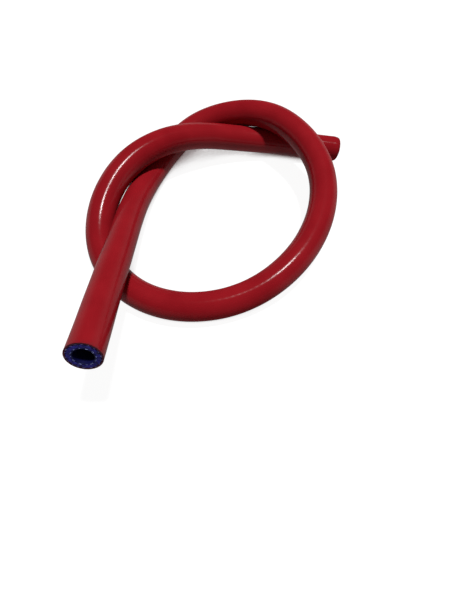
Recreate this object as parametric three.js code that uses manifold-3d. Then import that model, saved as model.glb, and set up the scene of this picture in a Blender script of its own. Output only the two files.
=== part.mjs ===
// A one-metre length of fabric-reinforced silicone hose, cut square at both ends and
// lying on a surface in a loose overhand knot. Its wall is built up as the real one is:
// a blue liner round the bore, a ply of yarn, a blue middle wall, a second ply of yarn
// and a red cover. Millimetres, +Z up, standing on z = 0.

import * as THREE from 'three';
import { NURBSCurve } from 'three/addons/curves/NURBSCurve.js';
import { mergeVertices } from 'three/addons/utils/BufferGeometryUtils.js';
import Module from 'manifold-3d';

// Driving dimensions of the hose's section: the bore, and the layers from there outwards.
const BORE_DIAMETER = 12.7;
const LINER_WALL = 0.35;
const INNER_YARN_WALL = 0.4;
const MIDDLE_WALL = 2.15;
const OUTER_YARN_WALL = 0.4;
const COVER_WALL = 1;
// Each layer keeps this far clear of the next one.
const BOND_CLEARANCE = 0.15;

// Name, wall and finish of each layer, from the bore outwards.
const RED_SILICONE = { color: 0x8f1a20, roughness: 0.38, metalness: 0 };
const BLUE_SILICONE = { color: 0x1d2a66, roughness: 0.55, metalness: 0 };
const LINER_SILICONE = { color: 0x101a44, roughness: 0.45, metalness: 0 };
const POLYESTER_YARN = { color: 0xb9c3da, roughness: 0.9, metalness: 0 };
const LAYERS = [
  { name: 'inner_liner', wall: LINER_WALL, finish: LINER_SILICONE },
  { name: 'inner_yarn_ply', wall: INNER_YARN_WALL, finish: POLYESTER_YARN },
  { name: 'middle_wall', wall: MIDDLE_WALL, finish: BLUE_SILICONE },
  { name: 'outer_yarn_ply', wall: OUTER_YARN_WALL, finish: POLYESTER_YARN },
  { name: 'outer_cover', wall: COVER_WALL, finish: RED_SILICONE },
];
const HOSE_WALL = LAYERS.reduce((sum, layer) => sum + layer.wall, 0)
  + (LAYERS.length - 1) * BOND_CLEARANCE;
const OUTER_DIAMETER = BORE_DIAMETER + 2 * HOSE_WALL;

// The round of the hose is flattened by this much where it lies on the surface.
const REST_FLAT_DEPTH = 0.75;

// The faceted tube: sides round it, and how far one section is from the next. The sections
// stand no further apart than LONGEST_STEP, and closer where the hose bends.
const SIDES = 10;
const LONGEST_STEP = 70;
const TURN_PER_STEP = THREE.MathUtils.degToRad(17.5);

// Control points of the centre line, a cubic B-spline that starts and ends on its first
// and last point. The near end stands clear of the surface, the hose comes down to the
// surface below the first crossing, and it lies on it again at the foot of the loop and
// at the far end.
const LYING = OUTER_DIAMETER / 2 - REST_FLAT_DEPTH;
const ROUTE = [
  // The near end, straight and stiff, coming down over the loop's left side.
  [-75, -132, 61],
  [-75.5, -115.5, 54.5],
  [-76.5, -83, 44.5],
  [-76, -38, 31.5],
  [-75.5, 4, 20.5],
  // On the surface, below the loop's upper left side.
  [-71.5, 45, 11],
  [-57, 85.5, 9.5],
  // Up and over the far end, round the top of the loop.
  [-34.5, 118, 15.5],
  [0, 129, 27],
  [36.5, 117.5, 37.5],
  [70, 86.5, 37],
  // Down the right side.
  [87.5, 46.5, 31],
  [82.5, 1, 24],
  [59.5, -39.5, 18.5],
  // The foot of the loop, on the surface and below the near end.
  [23.5, -66.5, LYING],
  [-19.5, -78, LYING],
  [-61, -69.5, LYING],
  [-92.5, -41, LYING],
  // Up the left side and over the near run.
  [-105, 1, 19],
  [-92.5, 40.5, 30.5],
  [-60, 74.5, 35.5],
  // Down below the top of the loop, and out to the far end on the surface.
  [-21.5, 95, 28],
  [20.5, 104.5, 15.5],
  [64.5, 105.5, 11.5],
  [94.5, 99, LYING],
  [110, 96, LYING],
];
const SPLINE_DEGREE = 3;

// How finely the centre line is sampled to place the sections and to measure it.
const FINE_STEPS = 800;
// Points nearer than this along the hose are neighbours, not another run of it.
const NEIGHBOUR_LENGTH = 4 * OUTER_DIAMETER;
const LEAST_SELF_GAP = 0.4;

const UP = new THREE.Vector3(0, 0, 1);

// The centre line. A section of the hose stays level: one side of its outline faces
// straight down, so that a run that lies on the surface lies on a flat side.
class HoseRoute extends NURBSCurve {
  constructor(points) {
    super(SPLINE_DEGREE, clampedKnots(points.length), points);
    this.stations = this.spreadStations();
    this.sections = Math.ceil(this.stations.at(-1));
  }

  // Counts, at each fine sample, how many steps of the tube lie behind it.
  spreadStations() {
    const stations = [0];
    for (let i = 1; i <= FINE_STEPS; i++) {
      const before = (i - 1) / FINE_STEPS;
      const here = i / FINE_STEPS;
      const length = this.getPoint(here).distanceTo(this.getPoint(before));
      const turn = this.getTangent(here).angleTo(this.getTangent(before));
      stations.push(stations[i - 1] + length / LONGEST_STEP + turn / TURN_PER_STEP);
    }
    return stations;
  }

  // Places the sections closer together where the hose bends.
  getUtoTmapping(u) {
    const wanted = u * this.stations.at(-1);
    let i = 1;
    while (i < FINE_STEPS && this.stations[i] < wanted) i++;
    const start = this.stations[i - 1];
    const share = (wanted - start) / (this.stations[i] - start);
    return (i - 1 + share) / FINE_STEPS;
  }

  computeFrenetFrames(segments) {
    const frames = { tangents: [], normals: [], binormals: [] };
    for (let i = 0; i <= segments; i++) {
      const tangent = this.getTangentAt(i / segments);
      const sideways = new THREE.Vector3().crossVectors(UP, tangent).normalize();
      frames.tangents.push(tangent);
      frames.normals.push(sideways);
      frames.binormals.push(new THREE.Vector3().crossVectors(tangent, sideways));
    }
    return frames;
  }
}

function clampedKnots(pointCount) {
  const knots = [];
  for (let i = 0; i < pointCount + SPLINE_DEGREE + 1; i++) {
    knots.push(THREE.MathUtils.clamp(i - SPLINE_DEGREE, 0, pointCount - SPLINE_DEGREE));
  }
  return knots;
}

// A ring of points with a flat side at its top and bottom.
function ringPoints(radius) {
  const points = [];
  for (let i = 0; i < SIDES; i++) {
    const angle = -Math.PI / 2 + ((i + 0.5) / SIDES) * 2 * Math.PI;
    points.push(new THREE.Vector2(radius * Math.cos(angle), radius * Math.sin(angle)));
  }
  return points;
}

// One layer of the wall, swept along the whole hose and open at both ends.
function layerGeometry(route, innerRadius, outerRadius) {
  const section = new THREE.Shape(ringPoints(outerRadius));
  section.holes.push(new THREE.Path(ringPoints(innerRadius)));
  return new THREE.ExtrudeGeometry(section, { steps: route.sections, extrudePath: route });
}

function layerMesh(name, geometry, finish) {
  const mesh = new THREE.Mesh(geometry, new THREE.MeshStandardMaterial(finish));
  mesh.name = name;
  return mesh;
}

function toSolid(wasm, geometry) {
  const positions = geometry.clone();
  positions.deleteAttribute('normal');
  positions.deleteAttribute('uv');
  const merged = mergeVertices(positions);
  return new wasm.Manifold(new wasm.Mesh({
    numProp: 3,
    vertProperties: new Float32Array(merged.attributes.position.array),
    triVerts: new Uint32Array(merged.index.array),
  }));
}

function toGeometry(solid) {
  const mesh = solid.getMesh();
  const geometry = new THREE.BufferGeometry();
  geometry.setAttribute('position', new THREE.BufferAttribute(mesh.vertProperties, 3));
  geometry.setIndex(new THREE.BufferAttribute(mesh.triVerts, 1));
  geometry.computeVertexNormals();
  return geometry;
}

// Takes off what would reach below the surface that the hose lies on.
function flattenWhereItLies(wasm, geometry) {
  geometry.computeBoundingBox();
  const box = geometry.boundingBox;
  const size = box.getSize(new THREE.Vector3()).addScalar(2 * OUTER_DIAMETER);
  const centre = box.getCenter(new THREE.Vector3());
  const ground = new THREE.BoxGeometry(size.x, size.y, OUTER_DIAMETER);
  ground.translate(centre.x, centre.y, -OUTER_DIAMETER / 2);
  return toGeometry(toSolid(wasm, geometry).subtract(toSolid(wasm, ground)));
}

// The least gap of the hose to itself, measured between the points of its centre line.
function leastSelfGap(route) {
  const points = route.getPoints(FINE_STEPS);
  const along = [0];
  for (let i = 1; i < points.length; i++) {
    along.push(along[i - 1] + points[i].distanceTo(points[i - 1]));
  }
  let least = Infinity;
  for (let i = 0; i < points.length; i++) {
    for (let j = i + 1; j < points.length; j++) {
      if (along[j] - along[i] < NEIGHBOUR_LENGTH) continue;
      least = Math.min(least, points[i].distanceTo(points[j]));
    }
  }
  return { gap: least - OUTER_DIAMETER, length: along.at(-1) };
}

// The layers lie one round the other, each clear of the last, and the outermost one is
// what the hose lies on.
function buildHose(wasm, route) {
  const hose = new THREE.Group();
  let innerRadius = BORE_DIAMETER / 2;
  for (const { name, wall, finish } of LAYERS) {
    const outerRadius = innerRadius + wall;
    const sleeve = layerGeometry(route, innerRadius, outerRadius);
    const geometry = name === 'outer_cover' ? flattenWhereItLies(wasm, sleeve) : sleeve;
    hose.add(layerMesh(name, geometry, finish));
    innerRadius = outerRadius + BOND_CLEARANCE;
  }
  return hose;
}

const wasm = await Module();
wasm.setup();

const route = new HoseRoute(ROUTE.map((point) => new THREE.Vector4(...point, 1)));
const { gap, length } = leastSelfGap(route);
console.log(`hose length ${length.toFixed(1)} mm in ${route.sections} steps`);
console.log(`least gap of the hose to itself ${gap.toFixed(2)} mm, wanted over ${LEAST_SELF_GAP}`);

export default buildHose(wasm, route);
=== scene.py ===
# The looks of a one-metre length of fabric-reinforced silicone hose that lies in a loose
# overhand knot. Its wall is a blue liner, a ply of yarn, a blue middle wall, a second ply
# of yarn and a red cover, and the cut yarns show on both cut ends. Metres, +Z up.

import math
import random

import bpy
import numpy as np
from mathutils import Matrix, Vector


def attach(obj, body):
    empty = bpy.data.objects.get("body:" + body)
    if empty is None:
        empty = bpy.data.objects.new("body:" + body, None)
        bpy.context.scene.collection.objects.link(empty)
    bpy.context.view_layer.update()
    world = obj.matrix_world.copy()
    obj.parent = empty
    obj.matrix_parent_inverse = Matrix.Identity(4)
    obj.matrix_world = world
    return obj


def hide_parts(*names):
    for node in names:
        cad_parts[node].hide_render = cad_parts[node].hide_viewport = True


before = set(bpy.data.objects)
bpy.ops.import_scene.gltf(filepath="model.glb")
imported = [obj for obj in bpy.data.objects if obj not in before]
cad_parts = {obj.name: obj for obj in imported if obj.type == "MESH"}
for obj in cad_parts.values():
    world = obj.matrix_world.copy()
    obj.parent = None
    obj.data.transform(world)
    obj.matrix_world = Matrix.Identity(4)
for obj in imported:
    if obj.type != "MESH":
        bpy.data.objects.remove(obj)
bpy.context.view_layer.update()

MM = 0.001
TURN = 2 * math.pi

# ---------------------------------------------------------------- the hose's dimensions

COVER_RADIUS = 11.25 * MM

# Inner and outer radius of each layer. They are bonded, so that each one ends a hair's
# breadth from the next.
LAYER_RADII = {
    "inner_liner": (6.35 * MM, 6.74 * MM),
    "inner_yarn_ply": (6.76 * MM, 7.34 * MM),
    "middle_wall": (7.36 * MM, 9.61 * MM),
    "outer_yarn_ply": (9.63 * MM, 10.19 * MM),
    "outer_cover": (10.21 * MM, COVER_RADIUS),
}

# Control points of the centre line, a cubic B-spline that starts and ends on its first
# and last point.
LYING = 10.5
ROUTE_MM = [
    (-75, -132, 61), (-75.5, -115.5, 54.5), (-76.5, -83, 44.5), (-76, -38, 31.5),
    (-75.5, 4, 20.5), (-71.5, 45, 11), (-57, 85.5, 9.5),
    (-34.5, 118, 15.5), (0, 129, 27), (36.5, 117.5, 37.5), (70, 86.5, 37),
    (87.5, 46.5, 31), (82.5, 1, 24), (59.5, -39.5, 18.5),
    (23.5, -66.5, LYING), (-19.5, -78, LYING), (-61, -69.5, LYING), (-92.5, -41, LYING),
    (-105, 1, 19), (-92.5, 40.5, 30.5), (-60, 74.5, 35.5),
    (-21.5, 95, 28), (20.5, 104.5, 15.5), (64.5, 105.5, 11.5), (94.5, 99, LYING),
    (110, 96, LYING),
]
ROUTE = np.array(ROUTE_MM) * MM
SPLINE_DEGREE = 3

# The braid in each ply: how many yarns run each way round, how far along the hose one of
# them goes before the next one takes its place, and how far it leans from the hose's line.
OUTER_YARNS_EACH_WAY = 9
INNER_YARNS_EACH_WAY = 6
YARN_STEP = 4.9 * MM
YARN_LEAN = math.radians(54.7)

# ---------------------------------------------------------------- the centre line


def spline_basis(knots, degree, at):
    """The weight of each control point at each parameter."""
    spans = len(knots) - 1
    last = max(i for i in range(spans) if knots[i] < knots[i + 1])
    weights = np.zeros((len(at), spans))
    for i in range(spans):
        inside = (at >= knots[i]) & (at < knots[i + 1])
        if i == last:
            inside |= at == knots[i + 1]
        weights[:, i] = inside
    for order in range(1, degree + 1):
        for i in range(spans - order):
            rise, fall = knots[i + order] - knots[i], knots[i + order + 1] - knots[i + 1]
            before = (at - knots[i]) / rise * weights[:, i] if rise > 0 else 0
            after = (knots[i + order + 1] - at) / fall * weights[:, i + 1] if fall > 0 else 0
            weights[:, i] = before + after
    return weights[:, : spans - degree]


class CentreLine:
    """The hose's centre line, read by the distance along it from the near end."""

    FINE = 6000

    def __init__(self, points):
        self.points = points
        inner = np.linspace(0, 1, len(points) - SPLINE_DEGREE + 1)
        self.knots = np.concatenate([[0] * SPLINE_DEGREE, inner, [1] * SPLINE_DEGREE])
        steps = np.diff(points, axis=0)
        spans = self.knots[SPLINE_DEGREE + 1 : -1] - self.knots[1 : -SPLINE_DEGREE - 1]
        self.slopes = SPLINE_DEGREE * steps / spans[:, None]
        self.parameters = np.linspace(0, 1, self.FINE)
        fine = spline_basis(self.knots, SPLINE_DEGREE, self.parameters) @ points
        pieces = np.linalg.norm(np.diff(fine, axis=0), axis=1)
        self.distances = np.concatenate([[0], np.cumsum(pieces)])
        self.length = float(self.distances[-1])

    def frames(self, distances):
        """Place, direction, sideways and upward of the section at each distance. Before
        the near end and past the far end, the line goes straight on."""
        distances = np.asarray(distances, float)
        within = distances.clip(0, self.length)
        at = np.interp(within, self.distances, self.parameters)
        place = spline_basis(self.knots, SPLINE_DEGREE, at) @ self.points
        along = spline_basis(self.knots[1:-1], SPLINE_DEGREE - 1, at) @ self.slopes
        along /= np.linalg.norm(along, axis=1)[:, None]
        place += along * (distances - within)[:, None]
        side = np.cross((0, 0, 1), along)
        side /= np.linalg.norm(side, axis=1)[:, None]
        return place, along, side, np.cross(along, side)


LINE = CentreLine(ROUTE)


def settled(offsets_up, centre_height):
    """Offsets upwards from the centre of a section, pressed in from below where the hose
    would otherwise reach under the surface that it lies on."""
    press = (1 - centre_height / COVER_RADIUS).clip(0, 1)
    depth = (-offsets_up / COVER_RADIUS).clip(0, None)
    return offsets_up * (1 - press * depth**4)


# Where two runs lean together beside a crossing: the distance along the hose, how far to
# either side this is felt, and how far the run moves in x, y and z.
LEANS = [
    (153 * MM, 60 * MM, (-0.4 * MM, 0.15 * MM, 0.2 * MM)),
    (312 * MM, 54 * MM, (-0.9 * MM, -1.15 * MM, -1.35 * MM)),
    (746 * MM, 60 * MM, (1.4 * MM, -0.2 * MM, -0.4 * MM)),
    (900 * MM, 53 * MM, (-0.75 * MM, 0.25 * MM, -0.45 * MM)),
]


def leaned(distances):
    """How far the hose is shifted at each distance."""
    shift = np.zeros((len(distances), 3))
    for middle, reach, most in LEANS:
        off = ((distances - middle) / reach).clip(-1, 1)
        share = (1 + np.cos(math.pi * off)) / 2
        shift += share[:, None] * most
    return shift


# The far end curls up a little: how much it is lifted, and over how much of the hose.
FAR_END_LIFT = 1.4 * MM
FAR_LIFT_REACH = 36 * MM

# Its cut leans: how far back from the cut this is felt, the cut's lean, the angle round
# the hose where the cut reaches furthest, and how far short of its square place it lies.
FAR_CUT_REACH = 20 * MM
FAR_CUT_LEAN = math.radians(15)
FAR_CUT_FORWARD = math.radians(144)
FAR_CUT_SHORT = 2.5 * MM

# Its rim is worn round: the share of the radius that is lost there, and over how much of
# the hose.
FAR_RIM_WORN = 0.08
FAR_RIM_REACH = 6 * MM


def far_share(distances, reach):
    """Grows from 0, this far from the far end, to 1 at it."""
    return ((distances - LINE.length) / reach + 1).clip(0, None) ** 2


def trimmed(distances, radii, angles):
    """These distances and radii as they are once the far end is cut and worn."""
    lean = math.tan(FAR_CUT_LEAN) * radii * np.cos(angles - FAR_CUT_FORWARD)
    moved = distances + far_share(distances, FAR_CUT_REACH) * (lean - FAR_CUT_SHORT)
    return moved, radii * (1 - FAR_RIM_WORN * far_share(distances, FAR_RIM_REACH))


def hose_points(distances, radii, angles):
    """Points at these distances along the hose, these radii and these angles round it."""
    distances, radii = trimmed(distances, radii, angles)
    place, _, side, up = LINE.frames(distances)
    across = radii * np.cos(angles)
    upward = settled(radii * np.sin(angles), place[:, 2])
    lift = FAR_END_LIFT * far_share(distances, FAR_LIFT_REACH)
    middle = place + leaned(distances)
    return middle + side * across[:, None] + up * (upward + lift)[:, None]


# ---------------------------------------------------------------- meshes

# The map of a layer's surface: the distance along the hose, and the share of the way
# round it.
HOSE_MAP = "along_and_round"

# Steps of the quarter circle that rounds the rim of a cut.
RIM_ANGLES = np.radians([0, 30, 60, 90])


def new_object(name, vertices, faces):
    mesh = bpy.data.meshes.new(name)
    mesh.from_pydata(vertices.tolist(), [], faces)
    mesh.validate()
    mesh.polygons.foreach_set("use_smooth", [True] * len(mesh.polygons))
    obj = bpy.data.objects.new(name, mesh)
    bpy.context.collection.objects.link(obj)
    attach(obj, "root")
    return obj


def cut_face_rings(inner, outer, rim, crown, count):
    """Depth below the cut and radius of each ring of a cut face, from its outer rim to
    its inner one. The rims are rounded by rim, and the face bulges by crown."""
    rings = [(rim * (1 - math.sin(a)), outer - rim * (1 - math.cos(a))) for a in RIM_ANGLES]
    for share in np.linspace(0, 1, count + 2)[1:-1]:
        bulge = crown * (1 - (2 * share - 1) ** 2)
        rings.append((-bulge, outer - rim + share * (inner - outer + 2 * rim)))
    inner_rim = [(depth, inner + outer - radius) for depth, radius in rings[:len(RIM_ANGLES)]]
    return rings + inner_rim[::-1]


def wall_profile(inner, outer, rim, crown, face_rings, outer_step, inner_step):
    """The closed outline of a layer's wall, as rings with a distance, a radius and whether
    they are on a cut face: along the outside, over the far cut face, back along the
    inside, and over the near cut face."""

    def between(step):
        count = round((LINE.length - 2 * rim) / step)
        return np.linspace(rim, LINE.length - rim, count + 1)[1:-1]

    face = cut_face_rings(inner, outer, rim, crown, face_rings)
    outside = [(distance, outer, False) for distance in between(outer_step)]
    far = [(LINE.length - depth, radius, True) for depth, radius in face]
    inside = [(distance, inner, False) for distance in between(inner_step)[::-1]]
    near = [(depth, radius, True) for depth, radius in face[::-1]]
    return outside + far + inside + near


def swept_wall(name, profile, sides, swell=None):
    """A closed tube wall whose sections follow the profile, and for each of its faces
    whether it is on a cut face."""
    rings = len(profile)
    distance = np.repeat([ring[0] for ring in profile], sides)
    radius = np.repeat([ring[1] for ring in profile], sides)
    angle = np.tile(np.arange(sides) / sides * TURN, rings)
    if swell:
        radius = radius + swell(distance, angle, radius)
    faces, corners, cut = [], [], []
    for i in range(rings):
        j = (i + 1) % rings
        here, there = profile[i][0], profile[j][0]
        for k in range(sides):
            m = (k + 1) % sides
            low, high = k / sides, (k + 1) / sides
            faces.append((i * sides + k, i * sides + m, j * sides + m, j * sides + k))
            corners += [(here, low), (here, high), (there, high), (there, low)]
            cut.append(profile[i][2] and profile[j][2])
    obj = new_object(name, hose_points(distance, radius, angle), faces)
    layer = obj.data.uv_layers.new(name=HOSE_MAP, do_init=False)
    layer.uv.foreach_set("vector", np.array(corners, np.float32).ravel())
    return obj, cut


# ---------------------------------------------------------------- nodes


# The part of a noise texture's output that is stretched out to go from 0 to 1.
NOISE_LOW = 0.3
NOISE_HIGH = 0.7


class Graph:
    """A tree of shader nodes, made and joined with short calls. A source is a node and the
    name or number of one of its outputs, and stands wherever a plain value can."""

    def __init__(self, tree):
        self.tree = tree
        tree.nodes.clear()

    def add(self, kind, inputs=None, **settings):
        node = self.tree.nodes.new(kind)
        for name, value in settings.items():
            setattr(node, name, value)
        for socket, value in (inputs or {}).items():
            self.feed(node, socket, value)
        return node

    def feed(self, node, socket, value):
        if isinstance(value, tuple) and isinstance(value[0], bpy.types.Node):
            self.tree.links.new(value[0].outputs[value[1]], node.inputs[socket])
        else:
            node.inputs[socket].default_value = value

    def math(self, operation, first, second=0.0):
        return self.add("ShaderNodeMath", {0: first, 1: second}, operation=operation), 0

    def span(self, source, start, stop, low, high):
        """Goes from low to high while the source goes from start to stop."""
        return self.add("ShaderNodeMapRange", {
            "Value": source, "From Min": start, "From Max": stop,
            "To Min": low, "To Max": high}), "Result"

    def noise(self, scale, detail=2.0, stretch=(1, 1, 1)):
        """Noise from 0 to 1, of this scale per metre, fixed to the hose."""
        place = self.add("ShaderNodeTexCoord")
        stretched = self.add("ShaderNodeMapping", {
            "Vector": (place, "Object"), "Scale": stretch})
        noise = self.add("ShaderNodeTexNoise", {
            "Vector": (stretched, 0), "Scale": scale, "Detail": detail})
        return self.span((noise, "Fac"), NOISE_LOW, NOISE_HIGH, 0, 1)

    def along_noise(self, per_metre, round_hose, detail=2.0):
        """Noise from 0 to 1 with this many waves for each metre along and each turn."""
        place = self.add("ShaderNodeUVMap", uv_map=HOSE_MAP)
        stretched = self.add("ShaderNodeMapping", {
            "Vector": (place, "UV"), "Scale": (per_metre, round_hose, 1)})
        noise = self.add("ShaderNodeTexNoise", {
            "Vector": (stretched, 0), "Scale": 1.0, "Detail": detail})
        return self.span((noise, "Fac"), NOISE_LOW, NOISE_HIGH, 0, 1)

    def along_span(self, start, stop, low, high):
        """Goes from low to high between these two distances along the hose."""
        place = self.add("ShaderNodeUVMap", uv_map=HOSE_MAP)
        parts = self.add("ShaderNodeSeparateXYZ", {0: (place, "UV")})
        return self.span((parts, "X"), start, stop, low, high)

    def along_table(self, table):
        """The value at each place, from distances along the hose and their values."""
        ramp = self.add("ShaderNodeValToRGB", {
            "Fac": self.along_span(0, LINE.length, 0, 1)})
        elements = ramp.color_ramp.elements
        for distance, _ in table[1:-1]:
            elements.new(distance / LINE.length)
        for element, (_, value) in zip(elements, table):
            element.color = (value, value, value, 1)
        return ramp, "Color"

    def near_a_cut(self, reach):
        """Goes from 1 at either cut end to 0 at this distance from it."""
        return self.math("MAXIMUM", self.along_span(0, reach, 1, 0),
                         self.along_span(LINE.length - reach, LINE.length, 0, 1))

    def wave(self, along, round_hose):
        """A wave from -1 to 1 with this many crests for each metre along and each turn."""
        place = self.add("ShaderNodeUVMap", uv_map=HOSE_MAP)
        phase = self.add("ShaderNodeVectorMath", {
            0: (place, "UV"), 1: (TURN * along, TURN * round_hose, 0)},
            operation="DOT_PRODUCT")
        return self.math("COSINE", (phase, "Value"))

    def mixed(self, share, first, second):
        """A colour between two colours."""
        return self.add("ShaderNodeMix", {
            0: share, 6: opaque(first), 7: opaque(second)}, data_type="RGBA"), 2

    def relief(self, source, height, below=None):
        """Bumps of this height for each unit of the source, on top of those below."""
        bump = self.add("ShaderNodeBump", {"Height": source, "Distance": height})
        if below:
            self.feed(bump, "Normal", below)
        return bump, "Normal"


def opaque(colour):
    return colour if isinstance(colour[0], bpy.types.Node) else (*colour, 1)


def linear(code):
    """The linear colour of a hex code."""
    channels = [int(code[i : i + 2], 16) / 255 for i in (0, 2, 4)]
    return tuple(c / 12.92 if c <= 0.04045 else ((c + 0.055) / 1.055) ** 2.4
                 for c in channels)


def surface(name, build, **plain):
    """A material whose varying values come from build, and whose others are plain ones."""
    material = bpy.data.materials.new(name)
    material.use_nodes = True
    graph = Graph(material.node_tree)
    inputs = build(graph)
    inputs.update({socket.replace("_", " "): value for socket, value in plain.items()})
    shader = graph.add("ShaderNodeBsdfPrincipled", inputs)
    graph.add("ShaderNodeOutputMaterial", {"Surface": (shader, "BSDF")})
    return material


# ---------------------------------------------------------------- the hose's materials


# How glossy the cover's skin is at each distance along the hose. It is duller at the top
# and at the foot of the loop, over the second crossing and at the far end.
GLOSS = [
    (0, 0.2), (280 * MM, 0.2), (300 * MM, 0.06), (342 * MM, 0.06), (362 * MM, 0.2),
    (490 * MM, 0.2), (508 * MM, 0.28), (520 * MM, 0.16), (537 * MM, 0.17),
    (547 * MM, 0.09), (560 * MM, 0.04), (600 * MM, 0.04), (650 * MM, 0.2),
    (715 * MM, 0.2), (728 * MM, 0.32), (745 * MM, 0.18), (757 * MM, 0.24),
    (766 * MM, 0.32), (776 * MM, 0.24), (789 * MM, 0.09), (802 * MM, 0.05),
    (820 * MM, 0.05), (850 * MM, 0.2), (970 * MM, 0.2), (980 * MM, 0.02),
    (LINE.length, 0.02),
]


# The cover's red, between a darker and a lighter one, and where it is scuffed.
RED_DARK = "8c151d"
RED_LIGHT = "981a22"
RED_SCUFFED = "6e2027"
SCUFF_REACH = 3 * MM

# The lines that the die left in the cover: how many lie side by side round it, and how
# many times in each metre they change.
DIE_LINES_ROUND = 70
DIE_LINES_PER_METRE = 9

SKIN_ROUGHNESS = 0.17

# The height of each relief in the cover.
BRAID_HEIGHT = 0.003 * MM
GRAIN_HEIGHT = 0.003 * MM
SCUFF_HEIGHT = 0.04 * MM


def red_cover():
    """Red silicone with a thin glossy skin, faint die lines and scuffed ends. The braid
    just shows through it."""

    def build(graph):
        cloudy = graph.noise(45, detail=3)
        colour = graph.mixed(cloudy, linear(RED_DARK), linear(RED_LIGHT))
        scuffed = graph.math("MULTIPLY", graph.near_a_cut(SCUFF_REACH),
                             graph.noise(700, detail=3))
        colour = graph.mixed(scuffed, colour, linear(RED_SCUFFED))
        lines = graph.along_noise(DIE_LINES_PER_METRE, DIE_LINES_ROUND, detail=3)
        roughness = graph.math("ADD", graph.span(lines, 0, 1, 0.28, 0.36),
                               graph.span(scuffed, 0, 1, 0, 0.3))
        braid = graph.math("ADD", graph.wave(1 / YARN_STEP, OUTER_YARNS_EACH_WAY),
                           graph.wave(-1 / YARN_STEP, OUTER_YARNS_EACH_WAY))
        relief = graph.relief(braid, BRAID_HEIGHT)
        relief = graph.relief(graph.noise(240), GRAIN_HEIGHT, relief)
        relief = graph.relief(scuffed, SCUFF_HEIGHT, relief)
        return {"Base Color": colour, "Roughness": roughness, "Normal": relief,
                "Coat Weight": graph.along_table(GLOSS), "Coat Normal": relief}

    return surface("red_silicone", build, Specular_IOR_Level=0.0,
                   Coat_Roughness=SKIN_ROUGHNESS)


# The blade's lines in a cut: how fine they are along each axis, and how deep.
BLADE_LINES = (300, 2600, 2600)
BLADE_DEPTH = 0.05 * MM

# How strongly the matt cut surfaces, and how strongly the yarns, reflect.
CUT_SPECULAR = 0.1
YARN_SPECULAR = 0.2
YARN_SHEEN = 0.1


def cut_silicone(name, dark, light):
    """Silicone that a blade has gone through: matt, with the blade's fine lines."""

    def build(graph):
        blotches = graph.span(graph.noise(420, detail=5), 0.2, 0.8, 0, 1)
        colour = graph.mixed(blotches, linear(dark), linear(light))
        roughness = graph.span(graph.noise(900), 0, 1, 0.55, 0.75)
        lines = graph.noise(1, detail=3, stretch=BLADE_LINES)
        relief = graph.relief(lines, BLADE_DEPTH)
        return {"Base Color": colour, "Roughness": roughness, "Normal": relief}

    return surface(name, build, Specular_IOR_Level=CUT_SPECULAR)


def bore_silicone():
    """The liner, smooth from its mandrel."""

    def build(graph):
        colour = graph.mixed(graph.noise(200), linear("0a0b34"), linear("101244"))
        roughness = graph.span(graph.noise(500), 0, 1, 0.45, 0.6)
        relief = graph.relief(graph.noise(800, detail=3), 0.01 * MM)
        return {"Base Color": colour, "Roughness": roughness, "Normal": relief}

    return surface("liner_silicone", build, Specular_IOR_Level=CUT_SPECULAR)


def ply_edge(name, yarns_each_way, dark, light):
    """A ply's cut edge: light where a yarn is cut through, dark where silicone fills in."""

    def build(graph):
        uneven = graph.span(graph.noise(1500, detail=3), 0, 1, -0.6, 0.6)
        yarns = graph.math("ADD", graph.wave(0, 2 * yarns_each_way), uneven)
        share = graph.span(yarns, 0.1, 0.9, 0, 1)
        colour = graph.mixed(share, linear(dark), linear(light))
        roughness = graph.span(graph.noise(900), 0, 1, 0.7, 0.95)
        relief = graph.relief(graph.noise(3000), 0.05 * MM)
        return {"Base Color": colour, "Roughness": roughness, "Normal": relief}

    return surface(name, build, Specular_IOR_Level=CUT_SPECULAR)


def cut_yarn(name, dark, light):
    """Pale polyester filaments, stained by the blue silicone round them."""

    def build(graph):
        colour = graph.mixed(graph.noise(450, detail=4), linear(dark), linear(light))
        roughness = graph.span(graph.noise(1800), 0, 1, 0.6, 0.85)
        relief = graph.relief(graph.noise(6000), 0.01 * MM)
        return {"Base Color": colour, "Roughness": roughness, "Normal": relief}

    return surface(name, build, Specular_IOR_Level=YARN_SPECULAR, Sheen_Weight=YARN_SHEEN)


RED = red_cover()
# The red cut faces' dark maroon is painted shade for the dim light that falls on them.
SHADED_RED_CUT = cut_silicone("red_silicone_cut", "36081a", "4c0f24")
BLUE_CUT = cut_silicone("blue_silicone", "0a0336", "342f96")
BORE = bore_silicone()
OUTER_YARN = cut_yarn("outer_polyester_yarn", "1c1644", "706a9e")
INNER_YARN = cut_yarn("inner_polyester_yarn", "222a6e", "98a0d8")
OUTER_PLY_EDGE = ply_edge("outer_ply_edge", OUTER_YARNS_EACH_WAY, "14082a", "2a2650")
INNER_PLY_EDGE = ply_edge("inner_ply_edge", INNER_YARNS_EACH_WAY, "14164c", "3c4884")

# ---------------------------------------------------------------- the hose's layers

# Times round the hose, length along it and height of each wave in the cover's outside.
SWELL_WAVES = [
    (1, 83 * MM, 0.03 * MM),
    (2, 47 * MM, 0.02 * MM),
    (3, 31 * MM, 0.012 * MM),
    (2, 19 * MM, 0.006 * MM),
    (5, 23 * MM, 0.005 * MM),
]
SWELL_SEED = 11
# Points of the cover within this of its outer radius are on its outside.
SKIN_DEPTH = 0.5 * MM


def cover_swell(distance, angle, radius):
    """The slight unevenness of the moulded cover's outside."""
    rng = random.Random(SWELL_SEED)
    total = np.zeros_like(distance)
    for times_round, wave, height in SWELL_WAVES:
        phase, drift = rng.uniform(0, TURN), rng.uniform(0, TURN)
        total += (height * np.sin(times_round * angle + drift)
                  * np.sin(TURN * distance / wave + phase))
    return np.where(radius > COVER_RADIUS - SKIN_DEPTH, total, 0)


# The sides of a layer's sections, and how far each section is from the next, where the
# layer sets nothing finer.
LAYER_SIDES = 72
LAYER_STEP = 4 * MM

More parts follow.
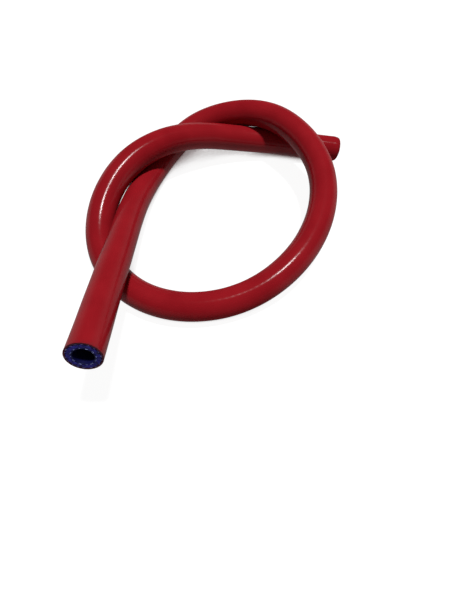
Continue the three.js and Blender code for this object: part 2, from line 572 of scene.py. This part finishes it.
# How round the rims of a ply are, and how far its cut faces bulge between them.
PLY_RIM = 0.06 * MM
PLY_CROWN = 0.05 * MM


def layer(name, slot, materials, rim, crown, face_rings, sides=LAYER_SIDES,
          outer_step=LAYER_STEP, inner_step=LAYER_STEP, swell=None):
    """One layer of the wall over the hose's whole length, in place of its CAD node. Where
    it has two materials, the second one is on its cut faces."""
    profile = wall_profile(*LAYER_RADII[name], rim, crown, face_rings, outer_step, inner_step)
    obj, cut = swept_wall(name + "_piece", profile, sides, swell)
    for material in materials:
        obj.data.materials.append(material)
    if len(materials) > 1:
        obj.data.polygons.foreach_set("material_index", np.array(cut, np.int32))
    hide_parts(name)
    return obj


COVER = layer("outer_cover", "red_silicone", [RED, SHADED_RED_CUT], rim=0.14 * MM,
              crown=0.02 * MM, face_rings=3, sides=96, outer_step=1 * MM,
              swell=cover_swell)
OUTER_PLY = layer("outer_yarn_ply", "polyester_yarn", [OUTER_PLY_EDGE], rim=PLY_RIM,
                  crown=PLY_CROWN, face_rings=3)
MIDDLE = layer("middle_wall", "blue_silicone", [BLUE_CUT], rim=0.1 * MM,
               crown=0.05 * MM, face_rings=5)
INNER_PLY = layer("inner_yarn_ply", "polyester_yarn", [INNER_PLY_EDGE], rim=PLY_RIM,
                  crown=PLY_CROWN, face_rings=3)
LINER = layer("inner_liner", "liner_silicone", [BORE], rim=0.1 * MM, crown=0.0,
              face_rings=2, inner_step=2 * MM)

# ---------------------------------------------------------------- the cut yarns

FILAMENT_RADIUS = 0.085 * MM
FILAMENT_SIDES = 6
FILAMENTS_PER_YARN = 16
YARN_WIDTH = 1.5 * MM
YARN_DEPTH = 0.52 * MM
# How far along its own way each filament starts below the face.
SUNK = 0.6 * MM
# A cut yarn leans out of the face by this share of the slope that it has in the ply, and
# its outermost filaments splay by this slope more.
LEAN_LEFT = 0.35
SPLAY = 0.25
# How far a yarn strays round the hose, as a share of the way to the next one, and how
# much thinner or thicker than usual a yarn and a filament may be.
YARN_STRAY = 0.15
YARN_SIZES = (0.4, 1.3)
FILAMENT_SIZES = (0.85, 1.15)
# How far a yarn stands out of the face, how much less or more each of its filaments does,
# and the least that one may, all in millimetres.
YARN_PROUD_MM = (0.08, 0.3)
FILAMENT_PROUD_MM = (-0.05, 0.12)
LEAST_PROUD_MM = 0.04
# A filament's tip narrows to this share of its radius, over this share of it in length.
TIP_SHARE = 0.6
# A filament's section is turned by this direction, which none of them runs in.
CROSS_DIRECTION = (0.3, 0.5, 0.81)


def filament(vertices, faces, root, tip, radius):
    """One cut filament, from below the cut face to its rounded tip."""
    axis = tip - root
    axis /= np.linalg.norm(axis)
    side = np.cross(axis, CROSS_DIRECTION)
    side /= np.linalg.norm(side)
    up = np.cross(axis, side)
    start, n = len(vertices), FILAMENT_SIDES
    rings = [(root, 1.0), (tip - axis * radius * TIP_SHARE, 1.0), (tip, TIP_SHARE)]
    for centre, share in rings:
        for k in range(n):
            angle = TURN * k / n
            spoke = side * math.cos(angle) + up * math.sin(angle)
            vertices.append(centre + radius * share * spoke)
    for ring in range(len(rings) - 1):
        for k in range(n):
            a, b = start + ring * n + k, start + ring * n + (k + 1) % n
            faces.append((a, b, b + n, a + n))
    faces.append(tuple(start + k for k in reversed(range(n))))
    faces.append(tuple(start + (len(rings) - 1) * n + k for k in range(n)))


def yarn_ends(name, ply, yarn, yarns_each_way, at_far_end, seed):
    """The cut ends of a ply's yarns at one end of the hose. Every other yarn runs the
    other way round, so its filaments lean the other way."""
    rng = random.Random(seed)
    middle = sum(LAYER_RADII[ply]) / 2
    distance = LINE.length if at_far_end else 0.0
    _, along, side, up = (values[0] for values in LINE.frames([distance]))
    outward = along if at_far_end else -along
    count = 2 * yarns_each_way
    vertices, faces = [], []
    for i in range(count):
        angle = TURN * (i + rng.uniform(-YARN_STRAY, YARN_STRAY)) / count
        lean = math.tan(YARN_LEAN) * LEAN_LEFT * (1 if i % 2 else -1)
        size = rng.uniform(*YARN_SIZES)
        proud = rng.uniform(*YARN_PROUD_MM) * MM
        for _ in range(FILAMENTS_PER_YARN):
            around, spread = rng.uniform(0, TURN), math.sqrt(rng.random())
            off_round = YARN_WIDTH / 2 * size * spread * math.cos(around)
            off_deep = YARN_DEPTH / 2 * size * spread * math.sin(around)
            here = angle + off_round / middle
            foot = hose_points(*np.array([[distance], [middle + off_deep], [here]]))[0]
            radial = side * math.cos(here) + up * math.sin(here)
            round_way = up * math.cos(here) - side * math.sin(here)
            height = proud + rng.uniform(*FILAMENT_PROUD_MM) * MM
            way_out = (outward + round_way * (lean + SPLAY * spread * math.cos(around))
                       + radial * SPLAY * spread * math.sin(around))
            root = foot - (outward + round_way * lean) * SUNK
            tip = foot + way_out * max(height, LEAST_PROUD_MM * MM)
            radius = FILAMENT_RADIUS * rng.uniform(*FILAMENT_SIZES)
            filament(vertices, faces, root, tip, radius)
    obj = new_object(name, np.array(vertices), faces)
    obj.data.materials.append(yarn)
    return obj


YARN_ENDS = [
    yarn_ends("outer_yarn_ends_near", "outer_yarn_ply", OUTER_YARN,
              OUTER_YARNS_EACH_WAY, at_far_end=False, seed=21),
    yarn_ends("inner_yarn_ends_near", "inner_yarn_ply", INNER_YARN,
              INNER_YARNS_EACH_WAY, at_far_end=False, seed=22),
    yarn_ends("outer_yarn_ends_far", "outer_yarn_ply", OUTER_YARN,
              OUTER_YARNS_EACH_WAY, at_far_end=True, seed=23),
    yarn_ends("inner_yarn_ends_far", "inner_yarn_ply", INNER_YARN,
              INNER_YARNS_EACH_WAY, at_far_end=True, seed=24),
]

# ---------------------------------------------------------------- the hose as a cord

PATH_STEP = 4 * MM
PATH = LINE.frames(np.linspace(0, LINE.length, round(LINE.length / PATH_STEP) + 1))[0]

# ---------------------------------------------------------------- camera

CAMERA_PLACE = (3.46 * MM, -199.32 * MM, 258.57 * MM)
CAMERA_PITCH = math.radians(62.20)
CAMERA_ROLL = math.radians(0.766)
CAMERA_LENS = 22.216
CAMERA_NEAREST = 10 * MM


def make_camera():
    camera = bpy.data.objects.new("camera", bpy.data.cameras.new("camera"))
    bpy.context.collection.objects.link(camera)
    camera.data.lens = CAMERA_LENS
    camera.data.clip_start = CAMERA_NEAREST
    camera.matrix_world = (
        Matrix.Translation(CAMERA_PLACE)
        @ Matrix.Rotation(math.radians(90) - CAMERA_PITCH, 4, "X")
        @ Matrix.Rotation(CAMERA_ROLL, 4, "Z")
    )
    bpy.context.scene.camera = camera


# ---------------------------------------------------------------- floor, world and light

FLOOR_SIZE = 40.0
# The floor's grey for the light that it sends back to the hose, its grey where it is
# seen, and how strongly the white that is seen glows.
FLOOR_BOUNCE = 0.36
FLOOR_GREY = 0.17
FLOOR_GLOW = 0.94
# In narrow places the seen grey and glow fade as painted shade, from full at the first
# share of open sky to none at the second, within this reach.
OPEN_SKY = 0.35
CLOSED_SKY = 0.15
CREVICE_REACH = 30 * MM
# What is left there is a painted dark red glow that stands in for red light from the hose.
SHADE_COLOUR = "48090f"

# In reflections the world is white up to the first height over the horizon and dark from
# the second one up. As a light it is a plain soft fill.
WHITE_UP_TO = math.radians(8)
DARK_FROM = math.radians(25)
DARK_SKY = 0.06
SKY_FILL = 0.13

KEY_DIRECTION = Vector((0.153, 0.135, 1.0))
KEY_DISTANCE = 3.0
KEY_SIZE = 0.35
KEY_POWER = 82.0


def seen(graph):
    """Is 1 where the camera or a reflection sees the surface, and 0 for its own light."""
    path = graph.add("ShaderNodeLightPath")
    direct = graph.math("MAXIMUM", (path, "Is Camera Ray"), (path, "Is Glossy Ray"))
    return graph.math("MAXIMUM", direct, (path, "Is Transmission Ray"))


def make_floor():
    half = FLOOR_SIZE / 2
    mesh = bpy.data.meshes.new("floor")
    corners = [(-half, -half, 0), (half, -half, 0), (half, half, 0), (-half, half, 0)]
    mesh.from_pydata(corners, [], [(0, 1, 2, 3)])
    floor = bpy.data.objects.new("floor", mesh)
    bpy.context.collection.objects.link(floor)
    material = bpy.data.materials.new("floor")
    material.use_nodes = True
    graph = Graph(material.node_tree)
    bounce = graph.add("ShaderNodeBsdfDiffuse", {"Color": opaque((FLOOR_BOUNCE,) * 3)})
    sky = graph.add("ShaderNodeAmbientOcclusion", {"Distance": CREVICE_REACH})
    # Painted shade, and a painted red glow, where little sky is open.
    openness = graph.span((sky, "AO"), CLOSED_SKY, OPEN_SKY, 0, 1)
    grey = graph.add("ShaderNodeBsdfDiffuse", {
        "Color": graph.math("MULTIPLY", openness, FLOOR_GREY)})
    glow = graph.add("ShaderNodeEmission", {
        "Color": graph.mixed(openness, linear(SHADE_COLOUR), (1, 1, 1)),
        "Strength": FLOOR_GLOW})
    white = graph.add("ShaderNodeAddShader", {0: (grey, 0), 1: (glow, 0)})
    choice = graph.add("ShaderNodeMixShader", {
        0: seen(graph), 1: (bounce, 0), 2: (white, 0)})
    graph.add("ShaderNodeOutputMaterial", {"Surface": (choice, 0)})
    mesh.materials.append(material)


def make_world():
    """Plain white to the camera, white low down and dark overhead in reflections, and a
    plain soft fill for the hose's own colours."""
    world = bpy.data.worlds.new("studio")
    bpy.context.scene.world = world
    world.use_nodes = True
    graph = Graph(world.node_tree)
    place = graph.add("ShaderNodeTexCoord")
    parts = graph.add("ShaderNodeSeparateXYZ", {0: (place, "Generated")})
    backdrop = graph.span((parts, "Z"), math.sin(WHITE_UP_TO), math.sin(DARK_FROM),
                          1.0, DARK_SKY)
    strength = graph.span(seen(graph), 0, 1, SKY_FILL, backdrop)
    path = graph.add("ShaderNodeLightPath")
    strength = graph.math("MAXIMUM", strength, (path, "Is Camera Ray"))
    background = graph.add("ShaderNodeBackground", {
        "Color": (1, 1, 1, 1), "Strength": strength})
    graph.add("ShaderNodeOutputWorld", {"Surface": (background, 0)})


def make_key_light():
    """A round softbox overhead."""
    data = bpy.data.lights.new("softbox", "AREA")
    data.shape = "DISK"
    data.size = KEY_SIZE
    data.energy = KEY_POWER
    light = bpy.data.objects.new("softbox", data)
    bpy.context.collection.objects.link(light)
    direction = KEY_DIRECTION.normalized()
    light.location = direction * KEY_DISTANCE
    light.rotation_mode = "QUATERNION"
    light.rotation_quaternion = direction.to_track_quat("Z", "Y")


make_camera()
make_floor()
make_world()
make_key_light()
bpy.context.scene.view_settings.view_transform = "Standard"
